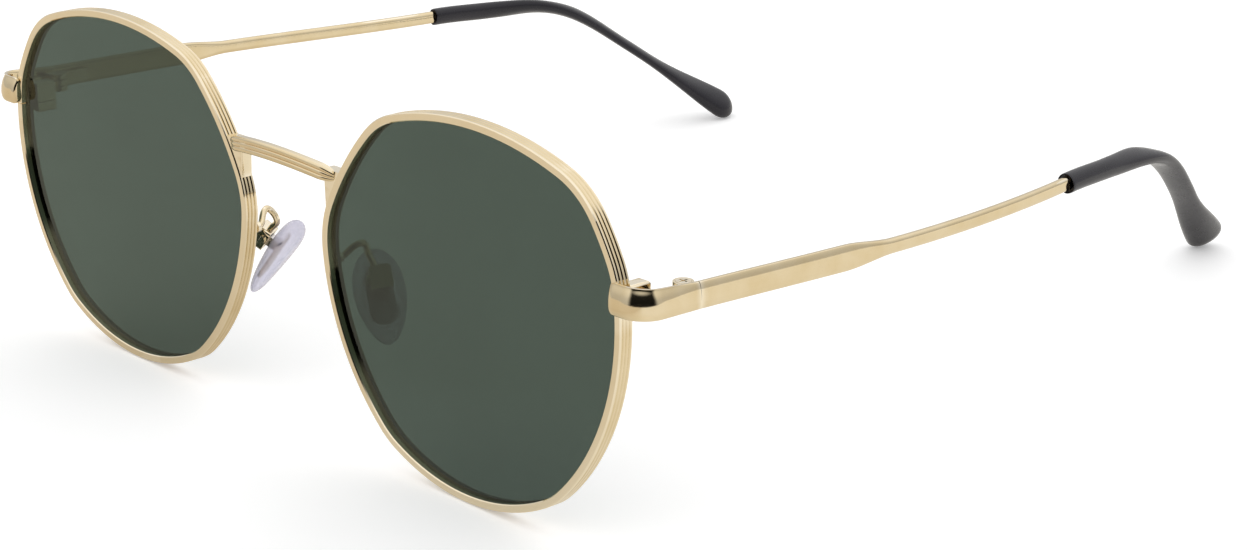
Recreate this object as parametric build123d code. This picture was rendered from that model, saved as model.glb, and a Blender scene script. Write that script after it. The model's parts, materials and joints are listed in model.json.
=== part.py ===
from build123d import *

import os
from math import cos, radians, sin, sqrt

os.makedirs("parts", exist_ok=True)

# Metal-framed sunglasses.  Everything is drawn for the wearer's left side (+X) in the frame of the
# front: lens centres on y = 0 and z = 0, the front faces -Y, the temples run back along +Y.  The
# right side is the mirror image.  At the end all pieces are placed as the glasses rest on a table.
# Sizes are millimetres and angles are degrees.

# --- eye shape and rim -------------------------------------------------------------------------
LENS_X = 36.0  # lens centre from the middle of the face
# Six gently bowed sides: (direction the side faces, its distance from the lens centre, its radius)
EYE_SIDES = (
    (94, 23.4, 50),
    (35, 28.9, 38),
    (-40, 26.1, 33),
    (-93, 24.9, 31),
    (-144, 25.3, 33),
    (137, 25.4, 42),
)
EYE_CORNER = 11.5  # radius that rounds the six corners
RIM_WIDTH = 1.05
RIM_DEPTH = 2.1
RIM_EDGE = 0.12  # small bevel on the rim's edges
RIM_GROOVES = (0.5, 1.05, 1.6)  # depths of the three fine grooves round the outside
GROOVE_HALF = 0.13
GROOVE_DEPTH = 0.15

# --- lens ----------------------------------------------------------------------------------------
LENS_FRONT = 0.8  # the lens face lies this far behind the rim's face
LENS_BACK = 2.05
BEVEL_Y = 1.4  # depth of the bevel's ridge, which sits in the rim's V groove
BEVEL_HALF = 0.35
BEVEL_OUT = 0.35
LENS_GAP = 0.03

# --- end piece, and the block that closes the rim -----------------------------------------------
STRIP_HEIGHT = 4.0
STRIP_THICK = 1.25
STRIP_Z = 8.65  # middle of the strip's height on the rim
STRIP_INNER_X = 63.5
STRIP_OUTER_X = 69.7
STRIP_BEND = 3.0
STRIP_CROWN = 0.55  # rounding along the strip's outer edges
STRIP_END_ROUND = 0.8  # rounding of the strip's free corners
SEAM_Y = 8.5
SEAM_Z = 8.1  # middle of the strip's height where it meets the temple
SEAM_GAP = 0.06
RIM_SPLIT_GAP = 0.1
RIM_SPLIT_Z = STRIP_Z - STRIP_HEIGHT / 2 - RIM_SPLIT_GAP
LOCK_X = (62.4, 64.4)
LOCK_BACK = 5.3
LOCK_UPPER_TOP = 9.5
LOCK_LOWER_BOTTOM = 5.0
LOCK_ROUND = 0.4
LOCK_SCREW_R = 0.5
LOCK_HEAD_R = 0.8
LOCK_HEAD_HEIGHT = 0.5
LOCK_SCREW_COVER = 0.9  # metal left above the screw's end
DRIVE_SLOT = 0.25  # width and depth of a screwdriver slot

# --- hinge ------------------------------------------------------------------------------------------
HINGE_X = 66.6
HINGE_Y = SEAM_Y
BARREL_R = 1.3
BARREL_BOTTOM = 6.6
BARREL_TOP = 9.3
MIDDLE_KNUCKLE = 0.95  # height of the knuckle on the temple side
KNUCKLE_GAP = 0.03
SWING_GAP = 0.15  # room round the turning knuckles
LEAF_THICK = 0.7
LEAF_Z = (6.9, 8.8)
FRONT_LEAF_Y = 4.2
TEMPLE_LEAF_END = 14.5
HINGE_SCREW_R = 0.55
HINGE_BORE_GAP = 0.03
HINGE_HEAD_R = 0.95
HINGE_HEAD_HEIGHT = 0.4
CROSS_SLOT_LENGTH = 1.33

# --- temple -----------------------------------------------------------------------------------------
# Centre line of the temple and of its tip, from the seam to the end
TEMPLE_LINE = (
    (69.08, SEAM_Y + SEAM_GAP, SEAM_Z),
    (70.1, 41.0, 7.1),
    (66.5, 82.0, 6.1),
    (63.6, 102.0, 4.9),
    (60.7, 115.0, -0.3),
    (56.5, 126.0, -8.2),
    (51.5, 139.4, -17.8),
)
TEMPLE_LINE_TANGENTS = ((0.03, 1, -0.03), (-0.3, 0.79, -0.55))
BLADE_HEIGHT = 3.35
BLADE_THICK = 1.2
BLADE_END = 33.0
ROD_START = 42.0
ROD_HEIGHT = 2.0
ROD_THICK = 1.3
CORE_END = 128.0  # the rod runs on inside the tip to here
TIP_START = 82.0
CORE_SIZE = 1.15  # the rod thins to this round core inside the tip
CORE_THINS = (TIP_START + 1, TIP_START + 7)
# The tip is nearly round at its mouth, flattens over the ear and broadens behind it
TIP_WIDTHS = (2.9, 3.8, 5.9)
TIP_THICKNESSES = (2.45, 1.6, 3.2)
TIP_TWISTS = (-30, -100, -130)  # turn of the broad direction away from upright
TIP_FLATTENS = (90.0, 113.0)
TIP_BROADENS = (123.0, 138.5)
TIP_ROUND = 2.6  # length of the tip's rounded end
TIP_ROUND_LIMIT = 0.97  # share of that length drawn before the closing face
TEMPLE_SECTIONS = 48
SECTION_ROUNDING = 0.44  # corner radius as a share of a section's smaller side

# --- bridge -----------------------------------------------------------------------------------------
BRIDGE_END = (11.7, 0.5, 11.5)
BRIDGE_MIDDLE = (0.0, -1.0, 12.75)
BRIDGE_RIDGE_R = 0.42
BRIDGE_RIDGE_STEP = 0.66
BRIDGE_BACK = 1.0
BRIDGE_HALF = 10.9  # the bar stops this far from the middle of the face
BRIDGE_END_ROUND = 1.2  # rounding of the bar's front corners
BRIDGE_WEB_INSET = 0.05  # the ridges stand this far above and below the bar's flat middle
FOOT_Z = (7.0, 12.3)
FOOT_Y = (0.15, 1.95)
FOOT_SIDE_X = (9.1, 8.9)  # the foot's side towards the nose, at its bottom and top

# --- nose pads --------------------------------------------------------------------------------------
PAD_PIVOT = (12.65, 6.2, -3.3)
PAD_FACING = (-0.8, 0.5, -0.664)  # towards the nose
PAD_DOWN = (0.533, -0.229, -0.815)  # along the pad's length
PAD_LENGTH = 13.4
PAD_WIDTH = 7.0
PAD_THICK = 2.2
PAD_EDGE = 0.9
PAD_STANDOFF = 2.6
PAD_DROP = 1.65  # the pad's middle lies this far below its pivot
INSERT_LENGTH = 8.0
INSERT_WIDTH = 3.6
INSERT_THICK = 0.4
INSERT_END_FLAT = 0.2  # half width left straight at the plate's ends
TAB_R = 0.75
TAB_HALF = 0.6
BOX_HALF_X = 1.5
BOX_HALF_Y = 1.6
BOX_BACK = -1.15
BOX_FRONT = 0.8
BOX_CORNER = 0.5
POCKET_HALF_X = 0.68
POCKET_HALF_Y = 1.1
POCKET_FLOOR = -0.82
PAD_SCREW_R = 0.4
PAD_BORE_GAP = 0.03
PAD_HEAD_R = 0.7
PAD_HEAD_HEIGHT = 0.35
ARM_R = 0.45
ARM_FOOT_R = 0.7
ARM_FOOT_HEIGHT = 0.5
ARM_START = (9.0, RIM_DEPTH, -0.4)
ARM_LOOP = ((9.6, 3.7, 0.6), (10.35, 5.1, 1.35), (10.0, 6.4, -0.6))
ARM_END_X = 0.45  # where the wire meets the box's top side, across the pad
ARM_END_Z = 0.2  # and towards the nose

# --- rest on a table ----------------------------------------------------------------------------------
REST_TILT = -3.07


def outline(grow):
    """Eye outline as exact arcs, offset outwards by grow."""
    shape = None
    for facing, distance, radius in EYE_SIDES:
        away = distance - radius
        centre = Pos(LENS_X + away * cos(radians(facing)), away * sin(radians(facing)))
        disk = centre * Circle(radius + grow)
        shape = disk if shape is None else shape & disk
    return fillet(shape.vertices(), EYE_CORNER + grow)


def at_depth(sketch, y):
    """A sketch of X and Z stood up at depth y."""
    return Pos(0, y, 0) * (Plane.XZ * sketch)


def slab(sketch, y_front, y_back):
    """Solid between two depths from a sketch of X and Z."""
    return extrude(at_depth(sketch, y_front), amount=y_front - y_back)


def eye_loft(stations):
    """Solid through the eye outline, from (depth, grow) stations."""
    return loft([at_depth(outline(grow), y) for y, grow in stations], ruled=True)


def block(x, y, z):
    """Box from three (low, high) pairs."""
    box = Box(x[1] - x[0], y[1] - y[0], z[1] - z[0])
    return Pos((x[0] + x[1]) / 2, (y[0] + y[1]) / 2, (z[0] + z[1]) / 2) * box


def rod(radius, start, length, direction):
    """Round bar from a point along a direction."""
    return extrude(Plane(origin=start, z_dir=direction) * Circle(radius), amount=length)


def make_rim():
    groove_sections = [(0, RIM_WIDTH - RIM_EDGE), (RIM_EDGE, RIM_WIDTH)]
    for y in RIM_GROOVES:
        groove_sections.append((y - GROOVE_HALF, RIM_WIDTH))
        groove_sections.append((y, RIM_WIDTH - GROOVE_DEPTH))
        groove_sections.append((y + GROOVE_HALF, RIM_WIDTH))
    groove_sections += [(RIM_DEPTH - RIM_EDGE, RIM_WIDTH), (RIM_DEPTH, RIM_WIDTH - RIM_EDGE)]
    opening_sections = [
        (0, RIM_EDGE),
        (RIM_EDGE, 0),
        (BEVEL_Y - BEVEL_HALF, 0),
        (BEVEL_Y, BEVEL_OUT),
        (BEVEL_Y + BEVEL_HALF, 0),
        (RIM_DEPTH, 0),
    ]
    split = block(
        (LENS_X, 2 * LENS_X),
        (-RIM_DEPTH, 2 * RIM_DEPTH),
        (RIM_SPLIT_Z - RIM_SPLIT_GAP / 2, RIM_SPLIT_Z + RIM_SPLIT_GAP / 2),
    )
    return eye_loft(groove_sections) - eye_loft(opening_sections) - split


def make_lens():
    return eye_loft(
        [
            (LENS_FRONT, -LENS_GAP),
            (BEVEL_Y - BEVEL_HALF, -LENS_GAP),
            (BEVEL_Y, BEVEL_OUT - LENS_GAP),
            (BEVEL_Y + BEVEL_HALF, -LENS_GAP),
            (LENS_BACK, -LENS_GAP),
        ]
    )


def bridge_plan():
    """Seen from above: the bar's outline with rounded front corners, a hair outside the ridges."""
    reach = BRIDGE_BACK / 2 + BRIDGE_RIDGE_R + RIM_EDGE
    front = ThreePointArc(
        (-BRIDGE_HALF, BRIDGE_END[1] - reach),
        (0, BRIDGE_MIDDLE[1] - reach),
        (BRIDGE_HALF, BRIDGE_END[1] - reach),
    )
    sides = Polyline(
        (BRIDGE_HALF, BRIDGE_END[1] - reach),
        (BRIDGE_HALF, RIM_DEPTH),
        (-BRIDGE_HALF, RIM_DEPTH),
        (-BRIDGE_HALF, BRIDGE_END[1] - reach),
    )
    plan = make_face(front + sides)
    return fillet(plan.vertices().filter_by(lambda v: v.Y < 0), BRIDGE_END_ROUND)


def make_bridge():
    """Arched bar with three ridges, and a foot brazed to the side of each rim."""
    end_x, end_y, end_z = BRIDGE_END
    arch = ThreePointArc((-end_x, end_y, end_z), BRIDGE_MIDDLE, BRIDGE_END)
    # The section is drawn across the arch at its right-hand end: x is the glasses' height
    across = Plane(origin=arch @ 0, x_dir=(0, 0, 1), z_dir=arch % 0)
    half_height = BRIDGE_RIDGE_STEP + BRIDGE_RIDGE_R - BRIDGE_WEB_INSET
    section = Rectangle(2 * half_height, BRIDGE_BACK)
    for ridge in (-1, 0, 1):
        section += Pos(ridge * BRIDGE_RIDGE_STEP, BRIDGE_BACK / 2) * Circle(BRIDGE_RIDGE_R)
        section += Pos(ridge * BRIDGE_RIDGE_STEP, -BRIDGE_BACK / 2) * Circle(BRIDGE_RIDGE_R)
    bar = sweep(across * section, path=arch) & extrude(bridge_plan(), amount=2 * end_z)
    wedge = Polygon(
        (FOOT_SIDE_X[0], FOOT_Z[0]),
        (LENS_X, FOOT_Z[0]),
        (LENS_X, FOOT_Z[1]),
        (FOOT_SIDE_X[1], FOOT_Z[1]),
        align=None,
    )
    strap = slab(wedge - outline(RIM_WIDTH), *FOOT_Y)
    eye = slab(outline(RIM_WIDTH), -LENS_X, LENS_X)
    bar = bar - eye - mirror(eye, about=Plane.YZ)
    return bar + strap + mirror(strap, about=Plane.YZ)


def make_end_piece():
    """Strip brazed to the rim's face, bent round to meet the temple."""
    inner_x = STRIP_OUTER_X - STRIP_THICK
    path = Polyline(
        (STRIP_INNER_X, -STRIP_THICK),
        (STRIP_OUTER_X, -STRIP_THICK),
        (STRIP_OUTER_X, SEAM_Y),
        (inner_x, SEAM_Y),
        (inner_x, 0),
        (STRIP_INNER_X, 0),
        close=True,
    )
    plan = make_face(path)
    outer_corner = plan.vertices().sort_by_distance((STRIP_OUTER_X, -STRIP_THICK, 0))[0]
    plan = fillet(outer_corner, STRIP_BEND)
    inner_corner = plan.vertices().sort_by_distance((inner_x, 0, 0))[0]
    plan = fillet(inner_corner, STRIP_BEND - STRIP_THICK)
    side = Polygon(
        (-STRIP_THICK, STRIP_Z - STRIP_HEIGHT / 2),
        (SEAM_Y, SEAM_Z - BLADE_HEIGHT / 2),
        (SEAM_Y, SEAM_Z + BLADE_HEIGHT / 2),
        (-STRIP_THICK, STRIP_Z + STRIP_HEIGHT / 2),
        align=None,
    )
    strip = extrude(plan, amount=2 * STRIP_Z) & extrude(Plane.YZ * side, amount=2 * LENS_X)
    free_end = strip.faces().sort_by(Axis.X)[0]
    free_corners = free_end.edges().filter_by(lambda e: e.length < STRIP_HEIGHT / 2)
    strip = fillet(free_corners, STRIP_END_ROUND)
    # The crown follows the face's whole outer edge from these two straight parts
    front_edges = strip.edges().filter_by(Axis.X).filter_by(lambda e: e.center().Y < -STRIP_THICK / 2)
    return fillet(front_edges, STRIP_CROWN)


def make_lock_upper():
    body = block(LOCK_X, (RIM_DEPTH, LOCK_BACK), (RIM_SPLIT_Z + RIM_SPLIT_GAP / 2, LOCK_UPPER_TOP))
    body = fillet(body.edges().group_by(Axis.Z)[-1], LOCK_ROUND)
    return body - lock_screw_shaft()


def make_lock_lower():
    body = block(LOCK_X, (RIM_DEPTH, LOCK_BACK), (LOCK_LOWER_BOTTOM, RIM_SPLIT_Z - RIM_SPLIT_GAP / 2))
    body = fillet(body.edges().group_by(Axis.Z)[0], LOCK_ROUND)
    head_seat = rod(LOCK_HEAD_R, lock_screw_start(), LOCK_HEAD_HEIGHT, (0, 0, 1))
    return body - lock_screw_shaft() - head_seat


def lock_screw_start():
    return ((LOCK_X[0] + LOCK_X[1]) / 2, (RIM_DEPTH + LOCK_BACK) / 2, LOCK_LOWER_BOTTOM)


def lock_screw_shaft():
    length = LOCK_UPPER_TOP - LOCK_LOWER_BOTTOM - LOCK_SCREW_COVER
    return rod(LOCK_SCREW_R, lock_screw_start(), length, (0, 0, 1))


def slotted_head(radius, height, start, direction):
    """Screw head whose outer face is at start, with a straight slot across it."""
    plane = Plane(origin=start, z_dir=direction)
    head = extrude(plane * Circle(radius), amount=height)
    slot = extrude(plane * Rectangle(2 * radius, DRIVE_SLOT), amount=DRIVE_SLOT)
    return head - slot


def make_lock_screw():
    return slotted_head(LOCK_HEAD_R, LOCK_HEAD_HEIGHT, lock_screw_start(), (0, 0, 1)) + (
        lock_screw_shaft() - rod(LOCK_SCREW_R, lock_screw_start(), LOCK_HEAD_HEIGHT, (0, 0, 1))
    )


def knuckle(bottom, top):
    return rod(BARREL_R, (HINGE_X, HINGE_Y, bottom), top - bottom, (0, 0, 1))


def middle_span():
    middle = (BARREL_BOTTOM + BARREL_TOP) / 2
    return middle - MIDDLE_KNUCKLE / 2, middle + MIDDLE_KNUCKLE / 2


def make_front_hinge():
    """Leaf brazed inside the end piece, with the top and bottom knuckles."""
    inner_x = STRIP_OUTER_X - STRIP_THICK
    low, high = middle_span()
    leaf_end = HINGE_Y - BARREL_R - SWING_GAP
    hinge = block((inner_x - LEAF_THICK, inner_x), (FRONT_LEAF_Y, leaf_end), LEAF_Z)
    for bottom, top in ((BARREL_BOTTOM, low - KNUCKLE_GAP), (high + KNUCKLE_GAP, BARREL_TOP)):
        web = block((HINGE_X, inner_x), (leaf_end, HINGE_Y), (bottom, top))
        hinge += knuckle(bottom, top) + web
    screw = hinge_screw_shaft() + rod(HINGE_HEAD_R, hinge_screw_top(), HINGE_HEAD_HEIGHT, (0, 0, -1))
    return hinge - screw


def make_temple_hinge():
    """Leaf brazed inside the temple, with the middle knuckle."""
    inner_x = STRIP_OUTER_X - STRIP_THICK
    low, high = middle_span()
    leaf_start = HINGE_Y + BARREL_R + SWING_GAP
    leaf = block((inner_x - LEAF_THICK, inner_x), (leaf_start, TEMPLE_LEAF_END), LEAF_Z)
    web = block((HINGE_X, inner_x), (HINGE_Y + SEAM_GAP, leaf_start), (low, high))
    bore = rod(HINGE_SCREW_R + HINGE_BORE_GAP, (HINGE_X, HINGE_Y, low), high - low, (0, 0, 1))
    return leaf + web + knuckle(low, high) - bore - temple_loft(SEAM_Y, TIP_START)


def hinge_screw_top():
    return (HINGE_X, HINGE_Y, BARREL_TOP)


def hinge_screw_shaft():
    return rod(HINGE_SCREW_R, hinge_screw_top(), BARREL_TOP - BARREL_BOTTOM, (0, 0, -1))


def make_hinge_screw():
    head = rod(HINGE_HEAD_R, hinge_screw_top(), HINGE_HEAD_HEIGHT, (0, 0, -1))
    for turn in (0, 90):
        slot = Rot(0, 0, turn) * Box(CROSS_SLOT_LENGTH, DRIVE_SLOT, DRIVE_SLOT)
        head -= Pos(*hinge_screw_top()) * slot
    shaft_length = BARREL_TOP - BARREL_BOTTOM - HINGE_HEAD_HEIGHT
    return head + rod(HINGE_SCREW_R, (HINGE_X, HINGE_Y, BARREL_BOTTOM), shaft_length, (0, 0, 1))


def ease(value, start, end):
    """0 before start, 1 after end, and a smooth change between them."""
    t = min(max((value - start) / (end - start), 0), 1)
    return t * t * (3 - 2 * t)


def temple_spline():
    return Spline(*TEMPLE_LINE, tangents=TEMPLE_LINE_TANGENTS)


def sections_along(y_start, y_end, count, size_at):
    """Rounded rectangles across the temple's line; size_at gives thickness, height and twist at a y."""
    line = temple_spline()
    faces = []
    for step in range(count + 1):
        y = y_start + (y_end - y_start) * step / count
        t = position_at_y(line, y)
        tangent = line % t
        plane = Plane(origin=line @ t, x_dir=tangent.cross(Vector(0, 0, 1)), z_dir=tangent)
        thick, height, twist = size_at(y)
        corner = SECTION_ROUNDING * min(thick, height)
        faces.append(plane * Rot(0, 0, twist) * RectangleRounded(thick, height, corner))
    return faces


def position_at_y(line, y):
    """Parameter where the temple's line reaches depth y."""
    low, high = 0.0, 1.0
    for _ in range(30):
        middle = (low + high) / 2
        if (line @ middle).Y < y:
            low = middle
        else:
            high = middle
    return (low + high) / 2


def temple_loft(y_start, y_end):
    def size_at(y):
        pinch = ease(y, BLADE_END, ROD_START)
        height = BLADE_HEIGHT + (ROD_HEIGHT - BLADE_HEIGHT) * pinch
        thick = BLADE_THICK + (ROD_THICK - BLADE_THICK) * pinch
        inside_tip = ease(y, *CORE_THINS)
        height += (CORE_SIZE - height) * inside_tip
        thick += (CORE_SIZE - thick) * inside_tip
        return thick, height, 0

    return loft(sections_along(y_start, y_end, TEMPLE_SECTIONS, size_at))


def make_temple():
    return temple_loft(SEAM_Y + SEAM_GAP, CORE_END)


def make_temple_tip():
    end = TEMPLE_LINE[-1][1]

    def between(values, y):
        mouth, neck, paddle = values
        at_neck = mouth + (neck - mouth) * ease(y, *TIP_FLATTENS)
        return at_neck + (paddle - neck) * ease(y, *TIP_BROADENS)

    def size_at(y):
        near_end = min(max((y - end + TIP_ROUND) / TIP_ROUND, 0), TIP_ROUND_LIMIT)
        taper = sqrt(1 - near_end * near_end)
        thick = between(TIP_THICKNESSES, y) * taper
        width = between(TIP_WIDTHS, y) * taper
        return thick, width, between(TIP_TWISTS, y)

    return loft(sections_along(TIP_START, end, TEMPLE_SECTIONS, size_at)) - make_temple()


def pad_plane():
    """Pad frame at the pivot: x across the pad, y up along it, z towards the nose."""
    facing = Vector(*PAD_FACING).normalized()
    return Plane(origin=PAD_PIVOT, x_dir=facing.cross(Vector(*PAD_DOWN)), z_dir=facing)


def cross_bar(radius, x_start, x_end):
    """Round bar across the pad frame, through its origin."""
    return rod(radius, (x_start, 0, 0), x_end - x_start, (1, 0, 0))


def make_pad_screw():
    shaft = cross_bar(PAD_SCREW_R, -BOX_HALF_X, BOX_HALF_X)
    head = cross_bar(PAD_HEAD_R, BOX_HALF_X, BOX_HALF_X + PAD_HEAD_HEIGHT)
    slot = Pos(BOX_HALF_X + PAD_HEAD_HEIGHT, 0, 0) * Box(DRIVE_SLOT, 2 * PAD_HEAD_R, DRIVE_SLOT)
    return pad_plane().location * (shaft + head - slot)


def make_pad_box():
    depth = BOX_FRONT - BOX_BACK
    box = extrude(RectangleRounded(2 * BOX_HALF_X, 2 * BOX_HALF_Y, BOX_CORNER), amount=depth)
    pocket = extrude(Rectangle(2 * POCKET_HALF_X, 2 * POCKET_HALF_Y), amount=depth)
    hollow = Pos(0, 0, BOX_BACK) * box - Pos(0, 0, POCKET_FLOOR) * pocket
    return pad_plane().location * (hollow - cross_bar(PAD_SCREW_R, -BOX_HALF_X, BOX_HALF_X))


def make_pad_insert():
    """Metal plate inside the pad, with the tab that the pad screw holds."""
    plate = Pos(0, -PAD_DROP, PAD_STANDOFF) * Box(INSERT_WIDTH, INSERT_LENGTH, INSERT_THICK)
    plate = fillet(plate.edges().filter_by(Axis.Z), INSERT_WIDTH / 2 - INSERT_END_FLAT)
    round_end = cross_bar(TAB_R, -TAB_HALF, TAB_HALF)
    neck = Pos(0, 0, PAD_STANDOFF / 2) * Box(2 * TAB_HALF, 2 * TAB_R, PAD_STANDOFF)
    bore = cross_bar(PAD_SCREW_R + PAD_BORE_GAP, -TAB_HALF, TAB_HALF)
    return pad_plane().location * (plate + round_end + neck - bore)


def make_nose_pad():
    shape = extrude(Ellipse(PAD_WIDTH / 2, PAD_LENGTH / 2), amount=PAD_THICK)
    shape = fillet(shape.edges(), PAD_EDGE)
    pad = pad_plane().location * (Pos(0, -PAD_DROP, PAD_STANDOFF - PAD_THICK / 2) * shape)
    return pad - make_pad_insert()


def make_pad_arm():
    """Wire looped from the back of the rim to the pad box."""
    plane = pad_plane()
    box_top = plane.from_local_coords(Vector(ARM_END_X, BOX_HALF_Y, ARM_END_Z))
    line = Spline(ARM_START, *ARM_LOOP, box_top, tangents=[(0, 1, 0), -plane.y_dir])
    wire = sweep(Plane(origin=ARM_START, z_dir=(0, 1, 0)) * Circle(ARM_R), path=line)
    foot = rod(ARM_FOOT_R, ARM_START, ARM_FOOT_HEIGHT, (0, 1, 0))
    return wire + foot


def all_pieces():
    """Every node at the front's own frame, by name."""
    sided = {
        "rim": make_rim(),
        "lens": make_lens(),
        "end_piece": make_end_piece(),
        "rim_lock_upper": make_lock_upper(),
        "rim_lock_lower": make_lock_lower(),
        "front_hinge": make_front_hinge(),
        "temple_hinge": make_temple_hinge(),
        "temple": make_temple(),
        "temple_tip": make_temple_tip(),
        "pad_arm": make_pad_arm(),
        "pad_box": make_pad_box(),
        "pad_insert": make_pad_insert(),
        "nose_pad": make_nose_pad(),
    }
    pairs = {
        "rim_lock_screws": make_lock_screw(),
        "hinge_screws": make_hinge_screw(),
        "pad_screws": make_pad_screw(),
    }
    pieces = {"bridge": make_bridge()}
    for name, shape in sided.items():
        pieces["left_" + name] = shape
        pieces["right_" + name] = mirror(shape, about=Plane.YZ)
    for name, shape in pairs.items():
        pieces[name] = Compound(children=[shape, mirror(shape, about=Plane.YZ)])
    return pieces


def rest_placement(pieces):
    """Tilted on to its rims and tips, with the middle of its footprint at the origin."""
    tilt = Rot(REST_TILT, 0, 0)
    box = Compound([tilt * shape for shape in pieces.values()]).bounding_box()
    return Pos(0, -(box.min.Y + box.max.Y) / 2, -box.min.Z) * tilt


def main():
    pieces = all_pieces()
    placement = rest_placement(pieces)
    for name, shape in pieces.items():
        export_step(placement * shape, f"parts/{name}.step")


if __name__ == "__main__":
    main()
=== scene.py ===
import json
from math import cos, pi, radians, sin, sqrt

import bmesh
import bpy
import numpy as np
from mathutils import Matrix, Vector


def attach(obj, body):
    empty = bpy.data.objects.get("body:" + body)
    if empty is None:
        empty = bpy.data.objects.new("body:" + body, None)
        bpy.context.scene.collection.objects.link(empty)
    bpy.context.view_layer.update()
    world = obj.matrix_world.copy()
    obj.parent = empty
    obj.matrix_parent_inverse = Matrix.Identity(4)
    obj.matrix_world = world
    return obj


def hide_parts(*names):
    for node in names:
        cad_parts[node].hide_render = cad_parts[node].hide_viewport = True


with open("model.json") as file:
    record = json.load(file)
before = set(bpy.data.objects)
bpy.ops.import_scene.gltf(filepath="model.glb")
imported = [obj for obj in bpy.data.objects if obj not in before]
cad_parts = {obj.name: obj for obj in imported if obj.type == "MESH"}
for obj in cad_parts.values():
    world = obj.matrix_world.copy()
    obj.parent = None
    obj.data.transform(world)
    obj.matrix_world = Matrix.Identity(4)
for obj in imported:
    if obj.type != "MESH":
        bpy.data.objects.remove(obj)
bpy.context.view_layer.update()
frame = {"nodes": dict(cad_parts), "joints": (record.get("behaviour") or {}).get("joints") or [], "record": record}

# The glasses are described in the frame of their front, in millimetres: lens centres on y = 0 and
# z = 0, the front faces -Y, the temples run back along +Y.  FRONT_TO_ROW carries that frame into
# the row frame, in metres, where the glasses rest on the floor.  Shapes are drawn for the wearer's
# left side (+X) and mirrored for the right.

# --- camera -----------------------------------------------------------------------------------
CAMERA_AZIMUTH = 46.12  # degrees from -Y towards +X
CAMERA_ELEVATION = 18.62
CAMERA_ROLL = 0.29
CAMERA_DISTANCE = 365.0
CAMERA_SIDEWAYS = 45.0  # the camera stands this far right of the line through the front's middle
CAMERA_LIFT = -3.8
CAMERA_LENS = 79.13
SENSOR_WIDTH = 36.0
CAMERA_SHIFT = (0.0017, -0.0015)  # picture shift, as shares of its width
CLIP_START = 0.01

# --- light ------------------------------------------------------------------------------------
HORIZON_LIGHT = 0.64
OVERHEAD_LIGHT = 1.18
OVERHEAD_FROM = 0.75  # height (sine of elevation) from which the tent is fully bright
DIM_SIDE_WIDTH = (42.0, 60.0)  # half widths of the dark camera side: fully dark, and faded out
DIM_SIDE_TOP = (0.50, 0.64)  # heights (sine of elevation) between which the dark side fades
DIM_SIDE_DEPTH = 0.985  # share of the light that the dark side takes away
FLOOR_SIZE = 8.0
FLOOR_GLOW = 0.33
FLOOR_REFLECTION_SHADE = (0.90, 0.88, 0.83)  # painted reflection shade: darker, warmer tint of the floor seen only where polished surfaces mirror it
FLOOR_AHEAD_REFLECTION_SHADE = (0.70, 0.63, 0.52)  # the same painted reflection shade, deeper, for the floor ahead of the lenses
FLOOR_REFLECTION_SHADE_FULL = 0.1  # -(x + y), in metres, where the painted reflection shade ahead of the lenses is complete; it starts at 0

# --- end pieces and temples -------------------------------------------------------------------
HINGE_PIVOT = Vector((66.6, 8.5, 7.95))
CROWN_LOW = 0.35  # crowns are highest this share of the half height below the middle
BAR_RING = 64
STRIP_Z = 8.65
STRIP_HEIGHT = 4.0
STRIP_THICK = 1.25
STRIP_INNER_X = 63.5
STRIP_OUTER_X = 69.7
STRIP_BEND = 3.8  # outer radius
STRIP_CROWN = 0.8
STRIP_CROWN_FADES = 0.3  # share of the way back from which the crown sinks to that of the seam
STRIP_POWER = 5.0
STRIP_CAP = 0.9  # length over which the free end closes
STRIP_CAP_HEIGHT = 0.62  # shares of the height and thickness left at the very end
STRIP_CAP_THICK = 0.45
STRIP_STEPS = (14, 16, 12)  # along the front, round the bend and along the side
SEAM_Y = 8.5
SEAM_Z = 8.1
SEAM_HEIGHT = 3.35
SEAM_CROWN = 0.42
BLADE_START = 8.56
BLADE_THICK = 1.2
BLADE_TO_ROD = (33.0, 42.0)
BLADE_RINGS = 110
BLADE_INSIDE_TIP = 5.0
ROD_HEIGHT = 2.0
ROD_THICK = 1.3
ROD_POWER = 2.6
TEMPLE_LINE = (
    (69.08, 8.56, 8.1),
    (70.1, 41.0, 7.1),
    (66.5, 82.0, 6.1),
    (63.6, 102.0, 4.9),
    (60.7, 115.0, -0.3),
    (56.5, 126.0, -8.2),
    (51.5, 139.4, -17.8),
)
TEMPLE_LINE_TANGENTS = ((0.03, 1, -0.03), (-0.3, 0.79, -0.55))

# --- temple tips; triples hold the values at the mouth, in the neck and at the end --------------
TIP_START = 82.0
TIP_END = 139.4
TIP_WIDTHS = (2.9, 3.8, 5.9)
TIP_THICKNESSES = (2.45, 1.6, 3.2)
TIP_TWISTS = (-30, -100, -130)
TIP_FLATTENS = (90.0, 113.0)
TIP_BROADENS = (123.0, 138.5)
TIP_POWER = 2.25
TIP_RING = 48
TIP_BODY_RINGS = 90
TIP_ROUND = 2.6  # length of the rounded end
TIP_ROUND_RINGS = 16
TIP_ROUND_TURN = 87.805  # the last ring stops short of a quarter turn, so that it has some size
TIP_SAG = 0.25  # the tip dips this much below the temple's line before the ear bend
TIP_SAG_ON = (83.0, 92.0)
TIP_SAG_OFF = (92.0, 103.0)
TIP_SWELL = 0.85  # and rises this much above it at the bend
TIP_SWELL_ON = (95.0, 109.0)
TIP_SWELL_OFF = (109.0, 120.0)
TIP_SWELL_GROWTH = 0.35  # added to its width and thickness at the bend
TIP_MOUTH_R = 0.95
TIP_MOUTH_DEPTH = 1.2
TIP_MOUTH_TAPER = 0.9  # share of the mouth's radius left at its depth
TIP_LIP = 0.35
TIP_LIP_INNER = 0.86  # shares of the tip's size inside the lip and at its crest
TIP_LIP_CREST = 0.96
TIP_LIP_INNER_RINGS = 5
TIP_LIP_OUTER_RINGS = 4

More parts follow.
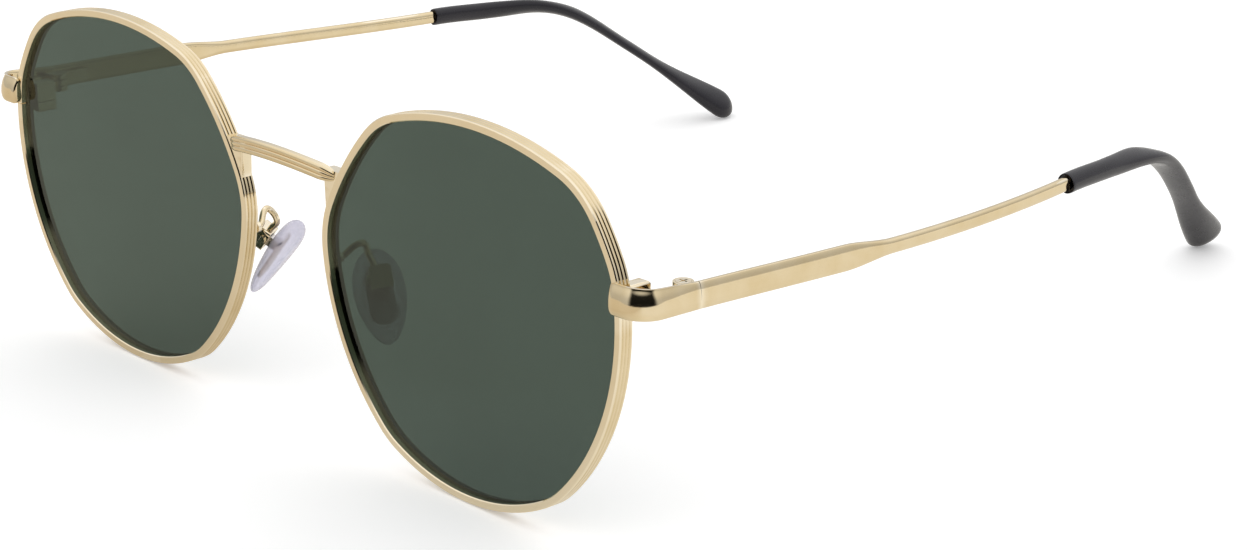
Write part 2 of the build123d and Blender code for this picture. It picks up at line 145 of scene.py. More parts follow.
# --- bridge -----------------------------------------------------------------------------------
BRIDGE_END = Vector((11.7, 0.5, 11.5))
BRIDGE_MIDDLE = Vector((0.0, -1.0, 12.75))
BRIDGE_HALF = 11.2
BRIDGE_BACK = 1.0
BRIDGE_RINGS = 96
BRIDGE_TAPER = 2.4  # length over which each end of the bar closes
BRIDGE_DIP = 0.35  # the bar's ends drop this much onto the rims
BRIDGE_END_TALL = 0.12  # shares of the bar's height and depth left at the very end
BRIDGE_END_DEEP = 0.3
BRIDGE_FRONT_POINTS = 60
BRIDGE_SHOULDER = (-0.2, 0.04)  # back of the full-height part, and how far it stands in from the top
BRIDGE_BACK_INSET = 0.3  # how far the flat back stands in from the top and bottom
RIDGE_R = 0.42
RIDGE_STEP = 0.66
FOOT_Z = (7.0, 12.3)
FOOT_Y = (0.15, 1.95)
FOOT_SIDE_X = (9.1, 8.9)  # side towards the nose, at the foot's bottom and top
FOOT_EDGE = 0.2
FOOT_ROWS = 12
FOOT_SINK = 0.35  # how far the foot reaches into the rim's metal
RIM_BAND = 0.6  # the rim's points within this height of a row give its side there

# --- nose pads --------------------------------------------------------------------------------
PAD_PIVOT = Vector((12.65, 6.2, -3.3))
PAD_FACING = Vector((-0.8, 0.5, -0.664)).normalized()
PAD_DOWN = Vector((0.533, -0.229, -0.815)).normalized()
PAD_LENGTH = 13.4
PAD_WIDTH = 7.0
PAD_THICK = 3.0
PAD_STANDOFF = 3.0
PAD_DROP = 1.65
PAD_RINGS = 28
PAD_AROUND = 64
PAD_EDGE_POWER = 0.55  # below 1 the sides stay full and turn in late
PAD_POLE = 0.02  # share of the outline left in the first and last ring
PAD_WIDER_UP = 0.16
PAD_NARROWER_ENDS = 0.04
PAD_THICKER_UP = 0.34
PAD_HOLLOW = 0.18
PAD_HOLLOW_AT = 0.35

MM = 0.001
SHARP_ANGLE = radians(32)
WELD_DISTANCE = 0.000002
BEVEL_WIDTH = 0.00007
BEVELLED_NODES = ("hinge", "lock_upper", "lock_lower", "pad_box", "screws", "pad_insert")


def front_to_row():
    """The front's frame in the row frame, found from the left hinge's place and axis."""
    hinge = next(joint for joint in frame["joints"] if joint["name"] == "left_temple_fold")
    up = Vector(hinge["axis"]).normalized()
    side = Vector((1, 0, 0))
    turn = Matrix((side, up.cross(side), up)).transposed().to_4x4()
    place = turn @ Matrix.Scale(MM, 4)
    return Matrix.Translation(Vector(hinge["pos_m"]) - place @ HINGE_PIVOT) @ place


FRONT_TO_ROW = front_to_row()
MIRROR = Matrix.Scale(-1, 4, (1, 0, 0))


# ------------------------------------------------------------------------------------- materials
class Nodes:
    """The emptied node tree of a material or world, with short ways to add and join nodes."""

    def __init__(self, owner):
        owner.use_nodes = True
        self.tree = owner.node_tree
        self.tree.nodes.clear()

    def add(self, kind, **settings):
        """Adds a node; settings are its inputs, or its own properties where no input has that name."""
        node = self.tree.nodes.new(kind)
        for name, value in settings.items():
            if name in node.inputs:
                node.inputs[name].default_value = value
            else:
                setattr(node, name, value)
        return node

    def join(self, source, target):
        self.tree.links.new(source, target)

    def feed(self, value, target):
        """Gives an input a number, a colour or another node's output."""
        if isinstance(value, (int, float)):
            target.default_value = value
        elif isinstance(value, tuple):
            target.default_value = (*value, 1)
        else:
            self.join(value, target)

    def maths(self, operation, first, second=0):
        node = self.add("ShaderNodeMath", operation=operation)
        self.feed(first, node.inputs[0])
        self.feed(second, node.inputs[1])
        return node.outputs["Value"]

    def smooth(self, source, low, high, to_low, to_high):
        """Maps low..high to to_low..to_high, levelling off smoothly at both ends."""
        node = self.add("ShaderNodeMapRange", interpolation_type="SMOOTHSTEP")
        limits = {"From Min": low, "From Max": high, "To Min": to_low, "To Max": to_high}
        for name, limit in limits.items():
            node.inputs[name].default_value = limit
        self.join(source, node.inputs["Value"])
        return node.outputs["Result"]


class Shader(Nodes):
    """A new material, textured in its object's own coordinates."""

    def __init__(self, name):
        self.material = bpy.data.materials.new(name)
        super().__init__(self.material)
        self.position = self.add("ShaderNodeTexCoord").outputs["Object"]

    def noise(self, scale, detail, stretch=(1, 1, 1)):
        """Noise with a number of features per metre."""
        mapping = self.add("ShaderNodeMapping", Scale=stretch)
        self.join(self.position, mapping.inputs["Vector"])
        noise = self.add("ShaderNodeTexNoise", Scale=scale, Detail=detail)
        self.join(mapping.outputs["Vector"], noise.inputs["Vector"])
        return noise.outputs["Fac"]

    def ramp(self, source, first, second):
        """Colour ramp between two (position, colour) stops."""
        ramp = self.add("ShaderNodeValToRGB")
        for element, (position, colour) in zip(ramp.color_ramp.elements, (first, second)):
            element.position = position
            element.color = (*colour, 1)
        self.join(source, ramp.inputs["Fac"])
        return ramp.outputs["Color"]

    def spread(self, source, low, high):
        """Maps 0..1 to low..high."""
        node = self.add("ShaderNodeMapRange")
        node.inputs["To Min"].default_value = low
        node.inputs["To Max"].default_value = high
        self.join(source, node.inputs["Value"])
        return node.outputs["Result"]

    def blend(self, factor, first, second, kind="MIX"):
        node = self.add("ShaderNodeMixRGB", blend_type=kind)
        for value, target in zip((factor, first, second), node.inputs):
            self.feed(value, target)
        return node.outputs["Color"]

    def bump(self, source, strength, distance):
        node = self.add("ShaderNodeBump", Strength=strength, Distance=distance)
        self.join(source, node.inputs["Height"])
        return node.outputs["Normal"]

    def mix(self, factor, first, second):
        node = self.add("ShaderNodeMixShader")
        for source, target in zip((factor, first, second), node.inputs):
            self.join(source, target)
        return node.outputs["Shader"]

    def finish(self, surface):
        output = self.add("ShaderNodeOutputMaterial")
        self.join(surface, output.inputs["Surface"])
        return self.material


def plated_metal(name, base, hollow_shade, worn, roughness, grain):
    """Polished plating: cloudy tint, painted shade that makes its hollows darker and warmer, paler on worn edges,
    faintly brushed.
    """
    s = Shader(name)
    paler = tuple(0.7 * a + 0.3 * b for a, b in zip(base, worn))
    colour = s.ramp(s.noise(scale=260, detail=4), (0.3, base), (0.72, paler))
    pointiness = s.add("ShaderNodeNewGeometry").outputs["Pointiness"]
    edge = s.ramp(pointiness, (0.51, (0, 0, 0)), (0.57, (1, 1, 1)))
    # painted shade: hollows, read from pointiness, are coloured darker and warmer
    hollow = s.ramp(pointiness, (0.43, (1, 1, 1)), (0.495, (0, 0, 0)))
    colour = s.blend(hollow, s.blend(edge, colour, worn), hollow_shade)
    lines = s.noise(scale=5200, detail=2, stretch=(1, 0.12, 0.12))
    specks = s.noise(scale=2400, detail=6)
    brushed = s.spread(lines, roughness * 0.5, roughness)
    mottled = s.spread(specks, 0, roughness * 0.6)
    metal = s.add("ShaderNodeBsdfPrincipled", Metallic=1.0)
    s.join(colour, metal.inputs["Base Color"])
    s.join(s.maths("ADD", brushed, mottled), metal.inputs["Roughness"])
    s.join(s.bump(lines, grain, distance=0.00001), metal.inputs["Normal"])
    return s.finish(metal.outputs["BSDF"])


def tinted_lens(tint):
    """Thin tinted sheet: the tint to look through, and a clear polish on its outside only."""
    s = Shader("lens_grey_green")
    deeper = tuple(1.05 * value for value in tint)
    through = s.add("ShaderNodeBsdfTransparent")
    s.join(s.ramp(s.noise(scale=45, detail=2), (0.35, tint), (0.7, deeper)), through.inputs["Color"])
    polish = s.add("ShaderNodeBsdfGlossy", Color=(0.84, 0.93, 0.87, 1))
    smears = s.noise(scale=90, detail=5, stretch=(1, 1, 2.2))
    s.join(s.spread(smears, 0.01, 0.06), polish.inputs["Roughness"])
    fresnel = s.add("ShaderNodeFresnel", IOR=1.5).outputs["Fac"]
    inside = s.add("ShaderNodeNewGeometry").outputs["Backfacing"]
    shine = s.maths("MULTIPLY", fresnel, s.maths("SUBTRACT", 1.0, inside))
    return s.finish(s.mix(shine, through.outputs["BSDF"], polish.outputs["BSDF"]))


def black_acetate():
    """Black tip plastic: satin polish with faint cloudiness, flow marks and rubbed spots."""
    s = Shader("acetate_black")
    plastic = s.add("ShaderNodeBsdfPrincipled", IOR=1.36)
    plastic.inputs["Coat Weight"].default_value = 0.1
    plastic.inputs["Coat Roughness"].default_value = 0.12
    flow = s.noise(scale=210, detail=5, stretch=(1, 0.25, 1))
    colour = s.ramp(flow, (0.3, (0.009, 0.008, 0.013)), (0.75, (0.020, 0.018, 0.024)))
    rubbed = s.noise(scale=900, detail=3)
    s.join(colour, plastic.inputs["Base Color"])
    s.join(s.spread(rubbed, 0.16, 0.34), plastic.inputs["Roughness"])
    s.join(s.bump(rubbed, strength=0.10, distance=0.00002), plastic.inputs["Normal"])
    return s.finish(plastic.outputs["BSDF"])


def clear_silicone():
    """Soft clear pad with a lilac cast, milkier towards its edges and satin outside."""
    s = Shader("silicone_clear")
    cloud = s.noise(scale=700, detail=3)
    body = s.add("ShaderNodeBsdfPrincipled", IOR=1.4)
    body.inputs["Subsurface Weight"].default_value = 0.3
    body.inputs["Subsurface Radius"].default_value = (0.002, 0.002, 0.002)
    milky = s.ramp(cloud, (0.3, (0.58, 0.57, 0.68)), (0.75, (0.74, 0.73, 0.80)))
    s.join(milky, body.inputs["Base Color"])
    s.join(s.spread(cloud, 0.10, 0.24), body.inputs["Roughness"])
    s.join(s.bump(cloud, strength=0.06, distance=0.00002), body.inputs["Normal"])
    clear = s.add("ShaderNodeBsdfTransparent", Color=(0.90, 0.89, 0.95, 1))
    facing = s.add("ShaderNodeLayerWeight", Blend=0.35).outputs["Facing"]
    return s.finish(s.mix(s.spread(facing, 0.26, 0.66), clear.outputs["BSDF"], body.outputs["BSDF"]))


def pale_floor():
    """White sweep that glows a little, so that only contact shadows stay visible on it; polished surfaces mirror
    it darker and warmer, a painted reflection shade, deeper ahead of the lenses.
    """
    s = Shader("floor_pale")
    paint = s.ramp(s.noise(scale=40, detail=4), (0.3, (0.86, 0.86, 0.86)), (0.7, (0.88, 0.88, 0.88)))
    where = s.add("ShaderNodeSeparateXYZ")
    s.join(s.position, where.inputs["Vector"])
    across = s.maths("ADD", where.outputs["X"], where.outputs["Y"])
    reflection_shade_ahead = s.maths("MULTIPLY", across, -1 / FLOOR_REFLECTION_SHADE_FULL)
    reflection_shade_ahead.node.use_clamp = True
    # painted reflection shade: glossy rays see the floor darker and warmer, more so ahead of the lenses
    glossy = s.add("ShaderNodeLightPath").outputs["Is Glossy Ray"]
    tint = s.blend(glossy, (1.0, 1.0, 1.0), s.blend(reflection_shade_ahead, FLOOR_REFLECTION_SHADE, FLOOR_AHEAD_REFLECTION_SHADE))
    colour = s.blend(1.0, paint, tint, "MULTIPLY")
    floor = s.add("ShaderNodeBsdfPrincipled", Roughness=0.75)
    floor.inputs["Emission Strength"].default_value = FLOOR_GLOW
    s.join(colour, floor.inputs["Base Color"])
    s.join(colour, floor.inputs["Emission Color"])
    return s.finish(floor.outputs["BSDF"])


# One material for each material slot of the record
# each metal's hollow colour is painted shade for its hollows
MATERIALS = {
    "gold_metal": plated_metal(
        "gold_plate",
        base=(0.685, 0.552, 0.335),
        hollow_shade=(0.66, 0.40, 0.19),
        worn=(0.86, 0.77, 0.60),
        roughness=0.085,
        grain=0.08,
    ),
    "screw_metal": plated_metal(
        "screw_gold",
        base=(0.74, 0.63, 0.45),
        hollow_shade=(0.55, 0.38, 0.22),
        worn=(0.90, 0.83, 0.70),
        roughness=0.14,
        grain=0.2,
    ),
    "insert_metal": plated_metal(
        "insert_metal",
        base=(0.62, 0.58, 0.57),
        hollow_shade=(0.42, 0.36, 0.34),
        worn=(0.82, 0.80, 0.78),
        roughness=0.2,
        grain=0.2,
    ),
    "lens_tint": tinted_lens((0.191, 0.237, 0.213)),
    "tip_acetate": black_acetate(),
    "pad_clear": clear_silicone(),
}


def dress_cad_nodes():
    """Gives every CAD node its slot's material, and small metal parts a bevel that catches light."""
    slots = {part["node"]: part["material_slot"] for part in frame["record"]["subparts"]}
    for name, node in frame["nodes"].items():
        node.data.materials.clear()
        node.data.materials.append(MATERIALS[slots[name]])
        if name.endswith(BEVELLED_NODES):
            weld = node.modifiers.new("weld", "WELD")
            weld.merge_threshold = WELD_DISTANCE
            bevel = node.modifiers.new("bevel", "BEVEL")
            bevel.width = BEVEL_WIDTH
            bevel.segments = 2
            bevel.limit_method = "ANGLE"
            bevel.angle_limit = SHARP_ANGLE


# -------------------------------------------------------------------------------- shape helpers
def ease(value, start, end):
    """0 before start, 1 after end, and a smooth change between them."""
    t = min(max((value - start) / (end - start), 0), 1)
    return t * t * (3 - 2 * t)


def between(first, second, share):
    return first + (second - first) * share


def rounded(distance, length):
    """Growth from 0 to 1 over a length, along a quarter circle."""
    share = min(max(distance / length, 0), 1)
    return sqrt(1 - (1 - share) ** 2)


def super_ellipse(width, height, count, power):
    """Rounded section in its own plane, as (x, y) points."""
    points = []
    for i in range(count):
        angle = 2 * pi * i / count
        c, s = cos(angle), sin(angle)
        x = width / 2 * abs(c) ** (2 / power) * (1 if c > 0 else -1)
        y = height / 2 * abs(s) ** (2 / power) * (1 if s > 0 else -1)
        points.append((x, y))
    return points


def crowned_section(thick, height, power, crown):
    """Rounded bar section, as (outwards, up) points about its middle, with a crowned outer face."""
    points = []
    for out, up in super_ellipse(thick, height, BAR_RING, power):
        lean = (2 * up / height + CROWN_LOW) / (1 + CROWN_LOW)
        if out > 0:
            out -= crown * lean * lean * 2 * out / thick
        points.append((out, up))
    return points


def skin(rings, closed_start=True):
    """Vertices and faces of the surface through rings of points, all rings with the same count."""
    count = len(rings[0])
    vertices = [point for ring in rings for point in ring]
    faces = []
    for r in range(len(rings) - 1):
        for i in range(count):
            j = (i + 1) % count
            faces.append((r * count + i, r * count + j, (r + 1) * count + j, (r + 1) * count + i))
    if closed_start:
        faces.append(tuple(reversed(range(count))))
    faces.append(tuple((len(rings) - 1) * count + i for i in range(count)))
    return vertices, faces


def mirrored(vertices, faces):
    return [MIRROR @ v for v in vertices], [tuple(reversed(face)) for face in faces]


def add_piece(name, vertices, faces, slot, body, node):
    """Adds a smooth piece that rides on a body and takes the place of a CAD node."""
    mesh = bpy.data.meshes.new(name)
    mesh.from_pydata([FRONT_TO_ROW @ v for v in vertices], [], faces)
    shell = bmesh.new()
    shell.from_mesh(mesh)
    bmesh.ops.recalc_face_normals(shell, faces=shell.faces)
    shell.to_mesh(mesh)
    shell.free()
    mesh.materials.append(MATERIALS[slot])
    mesh.polygons.foreach_set("use_smooth", [True] * len(mesh.polygons))
    mesh.set_sharp_from_angle(angle=SHARP_ANGLE)
    piece = bpy.data.objects.new(name, mesh)
    bpy.context.scene.collection.objects.link(piece)
    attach(piece, body)
    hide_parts(node)


def add_pair(name, vertices, faces, slot, body, node):
    """Adds a piece on the left and its mirror image on the right; {side} in body is filled in."""
    shapes = {"left": (vertices, faces), "right": mirrored(vertices, faces)}
    for side, shape in shapes.items():
        add_piece(f"{side}_{name}", *shape, slot, body.format(side=side), f"{side}_{node}")


class Curve3:
    """Smooth cubic through points, with given directions at its ends."""

    def __init__(self, points, tangents):
        self.points = np.array(points, float)
        steps = np.linalg.norm(np.diff(self.points, axis=0), axis=1)
        self.knots = np.concatenate(([0], np.cumsum(steps)))
        count = len(points)
        matrix = np.zeros((count, count))
        right = np.zeros((count, 3))
        matrix[0, 0] = matrix[-1, -1] = 1
        right[0] = np.array(tangents[0], float) / np.linalg.norm(tangents[0])
        right[-1] = np.array(tangents[1], float) / np.linalg.norm(tangents[1])
        for i in range(1, count - 1):
            before, after = steps[i - 1], steps[i]
            matrix[i, i - 1 : i + 2] = after, 2 * (before + after), before
            slope_before = (self.points[i] - self.points[i - 1]) / before
            slope_after = (self.points[i + 1] - self.points[i]) / after
            right[i] = 3 * (after * slope_before + before * slope_after)
        self.slopes = np.linalg.solve(matrix, right)

    def at(self, distance):
        """Point and direction at a distance along the knots."""
        i = min(max(int(np.searchsorted(self.knots, distance)) - 1, 0), len(self.knots) - 2)
        h = self.knots[i + 1] - self.knots[i]
        t = (distance - self.knots[i]) / h
        p0, p1 = self.points[i], self.points[i + 1]
        m0, m1 = self.slopes[i] * h, self.slopes[i + 1] * h
        point = (2 * t**3 - 3 * t**2 + 1) * p0 + (t**3 - 2 * t**2 + t) * m0
        point = point + (3 * t**2 - 2 * t**3) * p1 + (t**3 - t**2) * m1
        slope = (6 * t**2 - 6 * t) * (p0 - p1)
        slope = slope + (3 * t**2 - 4 * t + 1) * m0 + (3 * t**2 - 2 * t) * m1
        return Vector(point), Vector(slope).normalized()

    def at_y(self, y):
        """Point and direction where the curve passes y, which grows all along it."""
        low, high = 0.0, self.knots[-1]
        for _ in range(40):
            middle = (low + high) / 2
            if self.at(middle)[0].y < y:
                low = middle
            else:
                high = middle
        return self.at((low + high) / 2)


TEMPLE_CURVE = Curve3(TEMPLE_LINE, TEMPLE_LINE_TANGENTS)


def across_temple(along):
    """Outwards and downwards, both square to the temple's direction."""
    outwards = along.cross(Vector((0, 0, 1))).normalized()
    return outwards, along.cross(outwards).normalized()


# ------------------------------------------------------------------------- end pieces and temples
def strip_facing(turn):
    """Outward direction, a number of degrees round the bend from the front towards the side."""
    return Vector((sin(radians(turn)), -cos(radians(turn)), 0))


def strip_stations():
    """Points on the strip's inner face, each with its turn, from the free end to the seam."""
    front_steps, bend_steps, side_steps = STRIP_STEPS
    inner_r = STRIP_BEND - STRIP_THICK
    bend = Vector((STRIP_OUTER_X - STRIP_BEND, inner_r, 0))
    stations = []
    for i in range(front_steps + 1):
        x = between(STRIP_INNER_X, bend.x, (i / front_steps) ** 2)
        stations.append((Vector((x, 0, 0)), 0.0))
    for i in range(1, bend_steps + 1):
        turn = 90.0 * i / bend_steps
        stations.append((bend + strip_facing(turn) * inner_r, turn))
    for i in range(1, side_steps + 1):
        y = between(bend.y, SEAM_Y, i / side_steps)
        stations.append((Vector((bend.x + inner_r, y, 0)), 90.0))
    return stations


def make_end_pieces():
    """Crowned strip from its free end on the rim's face, round the bend, to the temple's seam."""
    rings = []
    for inner, turn in strip_stations():
        outward = strip_facing(turn)
        share = (inner.y + STRIP_THICK) / (SEAM_Y + STRIP_THICK)
        middle = between(STRIP_Z, SEAM_Z, share)
        full = rounded(inner.x - STRIP_INNER_X, STRIP_CAP)
        height = between(STRIP_HEIGHT, SEAM_HEIGHT, share) * between(STRIP_CAP_HEIGHT, 1, full)
        thick = STRIP_THICK * between(STRIP_CAP_THICK, 1, full)
        crown = between(STRIP_CROWN, SEAM_CROWN, ease(share, STRIP_CROWN_FADES, 1)) * full
        ring = []
        for out, up in crowned_section(thick, height, STRIP_POWER, crown):
            point = inner + outward * (out + thick / 2)
            point.z = middle + up
            ring.append(point)
        rings.append(ring)
    add_pair("end_strip", *skin(rings), "gold_metal", "front", "end_piece")


def make_temples():
    """Crowned blade that pinches to a thin rod and runs a little way into the tip."""
    rings = []
    for i in range(BLADE_RINGS + 1):
        y = between(BLADE_START, TIP_START + BLADE_INSIDE_TIP, i / BLADE_RINGS)
        centre, along = TEMPLE_CURVE.at_y(y)
        outwards, down = across_temple(along)
        pinch = ease(y, *BLADE_TO_ROD)
        height = between(SEAM_HEIGHT, ROD_HEIGHT, pinch)
        thick = between(BLADE_THICK, ROD_THICK, pinch)
        power = between(STRIP_POWER, ROD_POWER, pinch)
        section = crowned_section(thick, height, power, SEAM_CROWN * (1 - pinch))
        rings.append([centre + outwards * out - down * up for out, up in section])
    add_pair("temple_blade", *skin(rings), "gold_metal", "{side}_temple", "temple")


# ------------------------------------------------------------------------------------ temple tips
def tip_value(values, y):
    """Value at y, out of those at the mouth, in the neck and at the end."""
    mouth, neck, end = values
    return mouth + (neck - mouth) * ease(y, *TIP_FLATTENS) + (end - neck) * ease(y, *TIP_BROADENS)


def tip_ring(y, shrink=1.0, mouth_r=None):
    """Section of the tip, or a round one of the mouth's radius, across the tip's line at y."""
    centre, along = TEMPLE_CURVE.at_y(y)
    sag = TIP_SAG * ease(y, *TIP_SAG_ON) * (1 - ease(y, *TIP_SAG_OFF))
    swell = ease(y, *TIP_SWELL_ON) * (1 - ease(y, *TIP_SWELL_OFF))
    centre.z += TIP_SWELL * swell - sag
    outwards, down = across_temple(along)
    if mouth_r is None:
        thick = (tip_value(TIP_THICKNESSES, y) + TIP_SWELL_GROWTH * swell) * shrink
        width = (tip_value(TIP_WIDTHS, y) + TIP_SWELL_GROWTH * swell) * shrink
    else:
        thick = width = 2 * mouth_r
    turn = radians(tip_value(TIP_TWISTS, y))
    ring = []
    for a, b in super_ellipse(thick, width, TIP_RING, TIP_POWER):
        across = outwards * (a * cos(turn) - b * sin(turn))
        ring.append(centre + across + down * (a * sin(turn) + b * cos(turn)))
    return ring


def make_tips():
    """Plastic tip with a rolled lip round the rod, a flat neck over the ear and a full end."""
    rings = [
        tip_ring(TIP_START + TIP_MOUTH_DEPTH, mouth_r=TIP_MOUTH_R * TIP_MOUTH_TAPER),
        tip_ring(TIP_START + TIP_LIP, mouth_r=TIP_MOUTH_R),
    ]
    for i in range(1, TIP_LIP_INNER_RINGS + 1):
        angle = pi / 2 * i / TIP_LIP_INNER_RINGS
        shrink = between(TIP_LIP_INNER, TIP_LIP_CREST, 1 - cos(angle))
        rings.append(tip_ring(TIP_START + TIP_LIP * (1 - sin(angle)), shrink))
    for i in range(1, TIP_LIP_OUTER_RINGS + 1):
        share = i / TIP_LIP_OUTER_RINGS
        shrink = between(TIP_LIP_CREST, 1, sin(pi / 2 * share))
        rings.append(tip_ring(TIP_START + TIP_LIP * share, shrink))
    body_end = TIP_END - TIP_ROUND
    for i in range(1, TIP_BODY_RINGS + 1):
        rings.append(tip_ring(between(TIP_START + TIP_LIP, body_end, i / TIP_BODY_RINGS)))
    for i in range(1, TIP_ROUND_RINGS + 1):
        angle = radians(TIP_ROUND_TURN) * i / TIP_ROUND_RINGS
        rings.append(tip_ring(body_end + TIP_ROUND * sin(angle), cos(angle)))
    shape = skin(rings, closed_start=False)
    add_pair("tip_cover", *shape, "tip_acetate", "{side}_temple", "temple_tip")


# ----------------------------------------------------------------------------------------- bridge
def bridge_section():
    """Bar with three ridges in front and a flat back, as (forwards, up) points."""
    points = []
    half = RIDGE_STEP + RIDGE_R
    back = -BRIDGE_BACK / 2
    shoulder, shoulder_inset = BRIDGE_SHOULDER
    for i in range(BRIDGE_FRONT_POINTS):
        up = -half + 2 * half * i / (BRIDGE_FRONT_POINTS - 1)
        off_ridge = min(abs(up - step * RIDGE_STEP) for step in (-1, 0, 1))
        points.append((sqrt(max(RIDGE_R**2 - off_ridge**2, 0.0)) - back, up))
    points += [(shoulder, half - shoulder_inset), (back, half - BRIDGE_BACK_INSET)]
    points += [(back, BRIDGE_BACK_INSET - half), (shoulder, shoulder_inset - half)]
    return points


def bridge_bar():
    """Arched bar whose ends close and dip onto the rims."""
    rings = []
    for i in range(BRIDGE_RINGS + 1):
        # The rings crowd towards both ends, where the bar closes
        x = -BRIDGE_HALF * cos(pi * i / BRIDGE_RINGS)
        centre = BRIDGE_MIDDLE.lerp(BRIDGE_END, (x / BRIDGE_END.x) ** 2)
        centre.x = x
        full = rounded(BRIDGE_HALF - abs(x), BRIDGE_TAPER)
        centre.z -= BRIDGE_DIP * (1 - full)
        slope = 2 * x / BRIDGE_END.x**2 * (BRIDGE_END - BRIDGE_MIDDLE).z
        upward = Vector((-slope, 0, 1)).normalized() * between(BRIDGE_END_TALL, 1, full)
        deep = between(BRIDGE_END_DEEP, 1, full)
        ring = []
        for forwards, up in bridge_section():
            depth = (forwards + BRIDGE_BACK / 2) * deep - BRIDGE_BACK / 2
            ring.append(centre - Vector((0, depth, 0)) + upward * up)
        rings.append(ring)
    return skin(rings)


def bridge_foot():
    """Flat wedge between the bar's end and the side of the left rim, found from the rim's mesh."""
    rim = frame["nodes"]["left_rim"]
    to_front = FRONT_TO_ROW.inverted() @ rim.matrix_world
    rim_points = [to_front @ vertex.co for vertex in rim.data.vertices]
    front, back = FOOT_Y
    edge = FOOT_EDGE
    rings = []
    for row in range(FOOT_ROWS + 1):
        z = between(*FOOT_Z, row / FOOT_ROWS)
        near = between(*FOOT_SIDE_X, row / FOOT_ROWS)
        far = min(point.x for point in rim_points if abs(point.z - z) < RIM_BAND) + FOOT_SINK
        outline = (
            (near + edge, front),
            (near + edge / 3, front + edge / 3),
            (near, front + edge),
            (near, back - edge),
            (near + edge / 3, back - edge / 3),
            (near + edge, back),
            (far, back),
            (far, front),
        )
        rings.append([Vector((x, y, z)) for x, y in outline])
    return skin(rings)


def make_bridge():
    """The bar and its two feet, as one piece."""
    vertices, faces = bridge_bar()
    left_foot = bridge_foot()
    for foot_vertices, foot_faces in (left_foot, mirrored(*left_foot)):
        start = len(vertices)
        vertices = vertices + foot_vertices
        faces = faces + [tuple(start + v for v in face) for face in foot_faces]
    add_piece("bridge_bar", vertices, faces, "gold_metal", "front", "bridge")


# -------------------------------------------------------------------------------------- nose pads
def pad_matrix():
    """Pad frame at its pivot: x across the pad, y up along it, z towards the nose."""
    across = PAD_FACING.cross(PAD_DOWN).normalized()
    along = PAD_FACING.cross(across)
    turn = Matrix((across, along, PAD_FACING)).transposed().to_4x4()
    return Matrix.Translation(PAD_PIVOT) @ turn


def make_pads():
    """Cushion-shaped clear pad, fuller at its top than at its bottom, with a slight hollow face."""
    place = pad_matrix()
    rings = []
    for r in range(PAD_RINGS + 1):
        angle = pi * r / PAD_RINGS - pi / 2
        rise = sin(angle)
        reach = max(max(cos(angle), 0.0) ** PAD_EDGE_POWER, PAD_POLE)
        hollow = PAD_HOLLOW * (1 - (reach - PAD_HOLLOW_AT) ** 2) * max(rise, 0) * (1 - reach)
        ring = []
        for i in range(PAD_AROUND):
            turn = 2 * pi * i / PAD_AROUND
            up = sin(turn)
            width = PAD_WIDTH * (1 + PAD_WIDER_UP * up - PAD_NARROWER_ENDS * up * up)
            thick = PAD_THICK * (1 + PAD_THICKER_UP * up * reach)
            x = cos(turn) * width / 2 * reach
            y = up * PAD_LENGTH / 2 * reach - PAD_DROP
            z = PAD_STANDOFF + thick / 2 * rise - hollow
            ring.append(place @ Vector((x, y, z)))
        rings.append(ring)
    add_pair("pad_cushion", *skin(rings), "pad_clear", "{side}_pad", "nose_pad")


# ------------------------------------------------------------------------------------------ stage
def make_floor():
    bpy.ops.mesh.primitive_plane_add(size=FLOOR_SIZE, location=(0, 0, 0))
    floor = bpy.context.object
    floor.name = "floor"
    floor.data.materials.append(pale_floor())


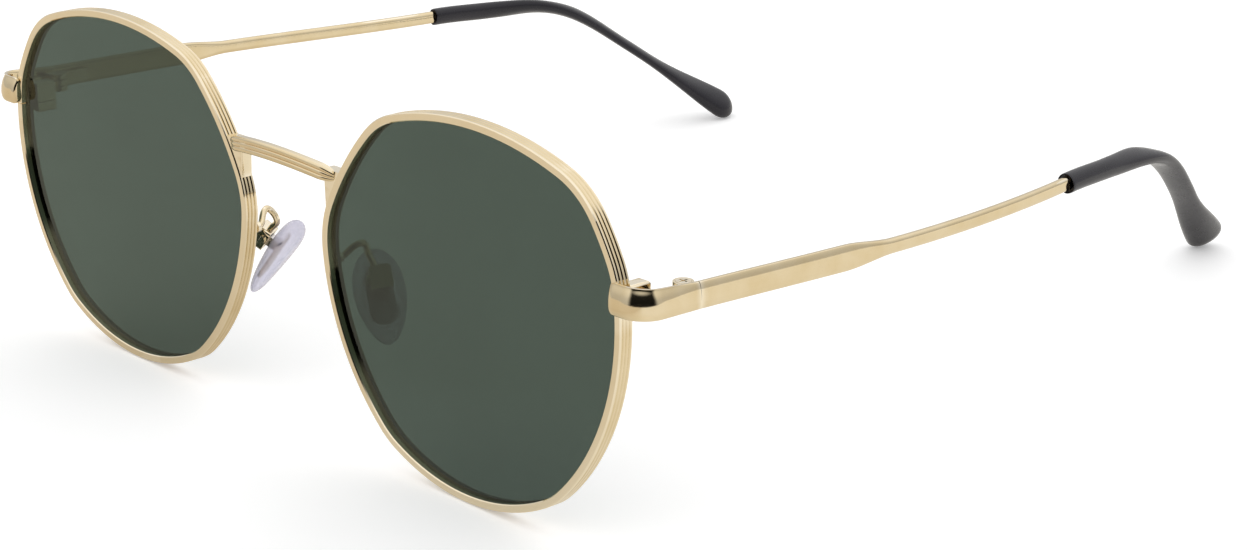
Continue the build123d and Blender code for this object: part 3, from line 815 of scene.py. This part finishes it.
def make_camera():
    azimuth, elevation = radians(CAMERA_AZIMUTH), radians(CAMERA_ELEVATION)
    level = Vector((sin(azimuth), -cos(azimuth), 0))
    back = level * cos(elevation) + Vector((0, 0, sin(elevation)))
    right = Vector((cos(azimuth), sin(azimuth), 0))
    up = back.cross(right)
    place = right * CAMERA_SIDEWAYS + up * CAMERA_LIFT + back * CAMERA_DISTANCE
    turn = FRONT_TO_ROW.to_3x3().normalized() @ Matrix((right, up, back)).transposed()
    turn = turn @ Matrix.Rotation(radians(CAMERA_ROLL), 3, "Z")
    data = bpy.data.cameras.new("camera")
    data.lens = CAMERA_LENS
    data.sensor_width = SENSOR_WIDTH
    data.clip_start = CLIP_START
    data.shift_x, data.shift_y = CAMERA_SHIFT
    camera = bpy.data.objects.new("camera", data)
    camera.matrix_world = Matrix.Translation(FRONT_TO_ROW @ place) @ turn.to_4x4()
    bpy.context.scene.collection.objects.link(camera)
    bpy.context.scene.camera = camera


def make_studio():
    """White tent all round, brighter overhead, with a dark stretch on the camera's side."""
    world = bpy.data.worlds.new("studio")
    bpy.context.scene.world = world
    n = Nodes(world)
    parts = n.add("ShaderNodeSeparateXYZ")
    n.join(n.add("ShaderNodeTexCoord").outputs["Generated"], parts.inputs["Vector"])
    x, y, z = parts.outputs
    azimuth = radians(CAMERA_AZIMUTH)
    toward = n.maths("ADD", n.maths("MULTIPLY", x, sin(azimuth)), n.maths("MULTIPLY", y, -cos(azimuth)))
    level = n.maths("SQRT", n.maths("ADD", n.maths("MULTIPLY", x, x), n.maths("MULTIPLY", y, y)))
    cosine = n.maths("DIVIDE", toward, n.maths("MAXIMUM", level, 0.01))
    dark, faded = DIM_SIDE_WIDTH
    beside = n.smooth(cosine, cos(radians(faded)), cos(radians(dark)), 0, 1)
    below = n.smooth(z, *DIM_SIDE_TOP, 1, 0)
    dimming = n.maths("MULTIPLY", n.maths("MULTIPLY", beside, below), DIM_SIDE_DEPTH)
    tent = n.smooth(z, 0.0, OVERHEAD_FROM, HORIZON_LIGHT, OVERHEAD_LIGHT)
    light = n.add("ShaderNodeBackground", Color=(1, 1, 1, 1))
    n.join(n.maths("MULTIPLY", tent, n.maths("SUBTRACT", 1.0, dimming)), light.inputs["Strength"])
    output = n.add("ShaderNodeOutputWorld")
    n.join(light.outputs["Background"], output.inputs["Surface"])


dress_cad_nodes()
make_end_pieces()
make_temples()
make_tips()
make_bridge()
make_pads()
make_floor()
make_camera()
make_studio()
bpy.context.scene.view_settings.view_transform = "Standard"
